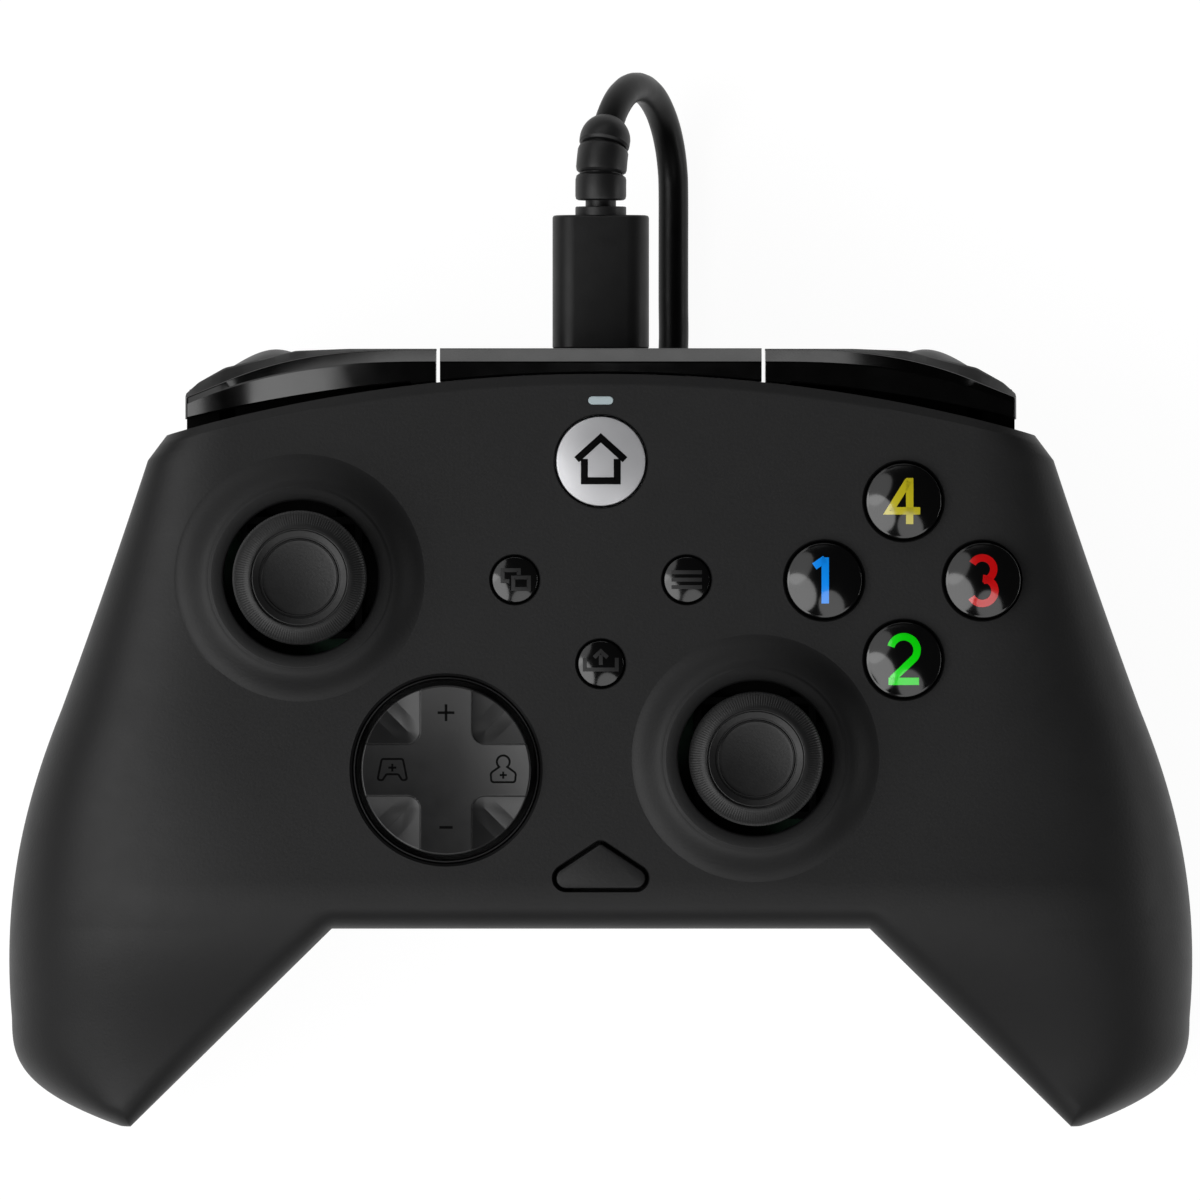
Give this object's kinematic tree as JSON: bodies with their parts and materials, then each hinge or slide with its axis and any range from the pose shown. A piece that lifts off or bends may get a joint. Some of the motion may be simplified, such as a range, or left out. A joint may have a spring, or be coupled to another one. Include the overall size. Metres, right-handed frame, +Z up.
{
  "type": "gamepad controller",
  "caption": "Wired game controller with moulded grips, tilting thumb sticks, a rocking direction disc, push buttons, hinged bumpers and triggers, and a coiled cable.",
  "frame": {"origin": "on the table, under the middle of the housing without its cable", "axes": "+X to the right hand, +Y to the front edge with the cable, +Z up out of the face"},
  "size_m": [0.153, 0.1364, 0.0605],
  "materials": {
    "matte_black": "fine grained",
    "gloss_black": "polished",
    "dark_plastic": "satin",
    "satin_silver": "satin",
    "steel": "plain",
    "board_green": "solder mask",
    "grey_rubber": "matte",
    "light_window": "frosted",
    "cable_black": "satin"
  },
  "bodies": {
    "housing": {"front_shell": "matte_black", "back_shell": "matte_black", "mid_frame": "dark_plastic", "front_bridge": "gloss_black", "bumper_pins": "steel", "bumper_switches": "dark_plastic", "trigger_pins": "steel", "trigger_springs": "steel", "main_board": "board_green", "usb_board": "board_green", "usb_socket": "steel", "headset_jack": "dark_plastic", "left_stick_housing": "steel", "left_stick_sensors": "dark_plastic", "right_stick_housing": "steel", "right_stick_sensors": "dark_plastic", "disc_post": "steel", "disc_membrane": "grey_rubber", "face_membrane": "grey_rubber", "button_switches": "dark_plastic", "status_light": "light_window", "left_rumble_motor": "steel", "right_rumble_motor": "steel", "housing_screws": "steel", "board_screws": "steel", "cable_plug": "dark_plastic", "strain_relief": "dark_plastic", "cable_run": "cable_black", "cable_coil": "cable_black", "cable_tail": "cable_black", "cable_tie": "cable_black", "far_plug": "dark_plastic"},
    "left_bumper_body": {"left_bumper": "gloss_black"},
    "right_bumper_body": {"right_bumper": "gloss_black"},
    "left_trigger_body": {"left_trigger": "gloss_black"},
    "right_trigger_body": {"right_trigger": "gloss_black"},
    "direction_disc_body": {"direction_disc": "dark_plastic"},
    "disc_pivot_body": {"disc_pivot": "dark_plastic"},
    "face_button_top_body": {"face_button_top": "gloss_black"},
    "face_button_left_body": {"face_button_left": "gloss_black"},
    "face_button_right_body": {"face_button_right": "gloss_black"},
    "face_button_bottom_body": {"face_button_bottom": "gloss_black"},
    "home_button_body": {"home_button": "satin_silver"},
    "view_button_body": {"view_button": "gloss_black"},
    "menu_button_body": {"menu_button": "gloss_black"},
    "share_button_body": {"share_button": "gloss_black"},
    "function_button_body": {"function_button": "matte_black"},
    "left_rumble_weight_body": {"left_rumble_weight": "steel"},
    "right_rumble_weight_body": {"right_rumble_weight": "steel"},
    "left_tilt_yoke_body": {"left_tilt_yoke": "dark_plastic"},
    "left_stick_post_body": {"left_stick_post": "dark_plastic"},
    "left_rocker_yoke_body": {"left_rocker_yoke": "steel"},
    "left_thumb_cap_body": {"left_thumb_cap": "matte_black"},
    "right_tilt_yoke_body": {"right_tilt_yoke": "dark_plastic"},
    "right_stick_post_body": {"right_stick_post": "dark_plastic"},
    "right_rocker_yoke_body": {"right_rocker_yoke": "steel"},
    "right_thumb_cap_body": {"right_thumb_cap": "matte_black"}
  },
  "joints": [
    {"name": "left_stick_sideways", "type": "hinge", "parent": "housing", "child": "left_tilt_yoke_body", "pos_m": [-0.0384, 0.0209, 0.0433], "axis": [0, 1, 0], "range_deg": [-16, 16], "stiffness_Nm_per_rad": 0.03},
    {"name": "left_stick_forward", "type": "hinge", "parent": "left_tilt_yoke_body", "child": "left_stick_post_body", "pos_m": [-0.0384, 0.0209, 0.0433], "axis": [1, 0, 0], "range_deg": [-16, 16], "stiffness_Nm_per_rad": 0.03},
    {"name": "left_rocker_swing", "type": "hinge", "parent": "housing", "child": "left_rocker_yoke_body", "pos_m": [-0.0384, 0.0209, 0.0433], "axis": [1, 0, 0], "range_deg": [-16, 16]},
    {"name": "left_stick_click", "type": "slide", "parent": "left_stick_post_body", "child": "left_thumb_cap_body", "axis": [0, 0, -1], "range_m": [0, 0.0006], "stiffness_N_per_m": 400},
    {"name": "right_stick_sideways", "type": "hinge", "parent": "housing", "child": "right_tilt_yoke_body", "pos_m": [0.0198, -0.0022, 0.0433], "axis": [0, 1, 0], "range_deg": [-16, 16], "stiffness_Nm_per_rad": 0.03},
    {"name": "right_stick_forward", "type": "hinge", "parent": "right_tilt_yoke_body", "child": "right_stick_post_body", "pos_m": [0.0198, -0.0022, 0.0433], "axis": [1, 0, 0], "range_deg": [-16, 16], "stiffness_Nm_per_rad": 0.03},
    {"name": "right_rocker_swing", "type": "hinge", "parent": "housing", "child": "right_rocker_yoke_body", "pos_m": [0.0198, -0.0022, 0.0433], "axis": [1, 0, 0], "range_deg": [-16, 16]},
    {"name": "right_stick_click", "type": "slide", "parent": "right_stick_post_body", "child": "right_thumb_cap_body", "axis": [0, 0, -1], "range_m": [0, 0.0006], "stiffness_N_per_m": 400},
    {"name": "left_bumper_press", "type": "hinge", "parent": "housing", "child": "left_bumper_body", "pos_m": [-0.0262, 0.0405, 0.04], "axis": [0, 0, 1], "range_deg": [0, 2], "stiffness_Nm_per_rad": 1},
    {"name": "right_bumper_press", "type": "hinge", "parent": "housing", "child": "right_bumper_body", "pos_m": [0.0262, 0.0405, 0.04], "axis": [0, 0, -1], "range_deg": [0, 2], "stiffness_Nm_per_rad": 1},
    {"name": "left_trigger_pull", "type": "hinge", "parent": "housing", "child": "left_trigger_body", "pos_m": [-0.04, 0.035, 0.031], "axis": [-1, 0, 0], "range_deg": [0, 16], "stiffness_Nm_per_rad": 0.3},
    {"name": "right_trigger_pull", "type": "hinge", "parent": "housing", "child": "right_trigger_body", "pos_m": [0.04, 0.035, 0.031], "axis": [-1, 0, 0], "range_deg": [0, 16], "stiffness_Nm_per_rad": 0.3},
    {"name": "disc_rock_forward", "type": "hinge", "parent": "housing", "child": "disc_pivot_body", "pos_m": [-0.0198, -0.0037, 0.043], "axis": [1, 0, 0], "range_deg": [-4, 4], "stiffness_Nm_per_rad": 0.2},
    {"name": "disc_rock_sideways", "type": "hinge", "parent": "disc_pivot_body", "child": "direction_disc_body", "pos_m": [-0.0198, -0.0037, 0.043], "axis": [0, 1, 0], "range_deg": [-4, 4], "stiffness_Nm_per_rad": 0.2},
    {"name": "face_top_press", "type": "slide", "parent": "housing", "child": "face_button_top_body", "axis": [0, 0, -1], "range_m": [0, 0.0015], "stiffness_N_per_m": 400},
    {"name": "face_left_press", "type": "slide", "parent": "housing", "child": "face_button_left_body", "axis": [0, 0, -1], "range_m": [0, 0.0015], "stiffness_N_per_m": 400},
    {"name": "face_right_press", "type": "slide", "parent": "housing", "child": "face_button_right_body", "axis": [0, 0, -1], "range_m": [0, 0.0015], "stiffness_N_per_m": 400},
    {"name": "face_bottom_press", "type": "slide", "parent": "housing", "child": "face_button_bottom_body", "axis": [0, 0, -1], "range_m": [0, 0.0015], "stiffness_N_per_m": 400},
    {"name": "home_press", "type": "slide", "parent": "housing", "child": "home_button_body", "axis": [0, 0, -1], "range_m": [0, 0.0009], "stiffness_N_per_m": 400},
    {"name": "view_press", "type": "slide", "parent": "housing", "child": "view_button_body", "axis": [0, 0, -1], "range_m": [0, 0.0009], "stiffness_N_per_m": 400},
    {"name": "menu_press", "type": "slide", "parent": "housing", "child": "menu_button_body", "axis": [0, 0, -1], "range_m": [0, 0.0009], "stiffness_N_per_m": 400},
    {"name": "share_press", "type": "slide", "parent": "housing", "child": "share_button_body", "axis": [0, 0, -1], "range_m": [0, 0.0009], "stiffness_N_per_m": 400},
    {"name": "function_press", "type": "slide", "parent": "housing", "child": "function_button_body", "axis": [0, 0, -1], "range_m": [0, 0.0009], "stiffness_N_per_m": 400},
    {"name": "left_rumble_spin", "type": "hinge", "parent": "housing", "child": "left_rumble_weight_body", "pos_m": [-0.06, -0.024, 0.0256], "axis": [0, 1, 0], "continuous": true},
    {"name": "right_rumble_spin", "type": "hinge", "parent": "housing", "child": "right_rumble_weight_body", "pos_m": [0.06, -0.024, 0.0256], "axis": [0, 1, 0], "continuous": true}
  ],
  "couplings": [
    {"joint": "left_rocker_swing", "follows": "left_stick_forward", "ratio": 1},
    {"joint": "right_rocker_swing", "follows": "right_stick_forward", "ratio": 1}
  ]
}
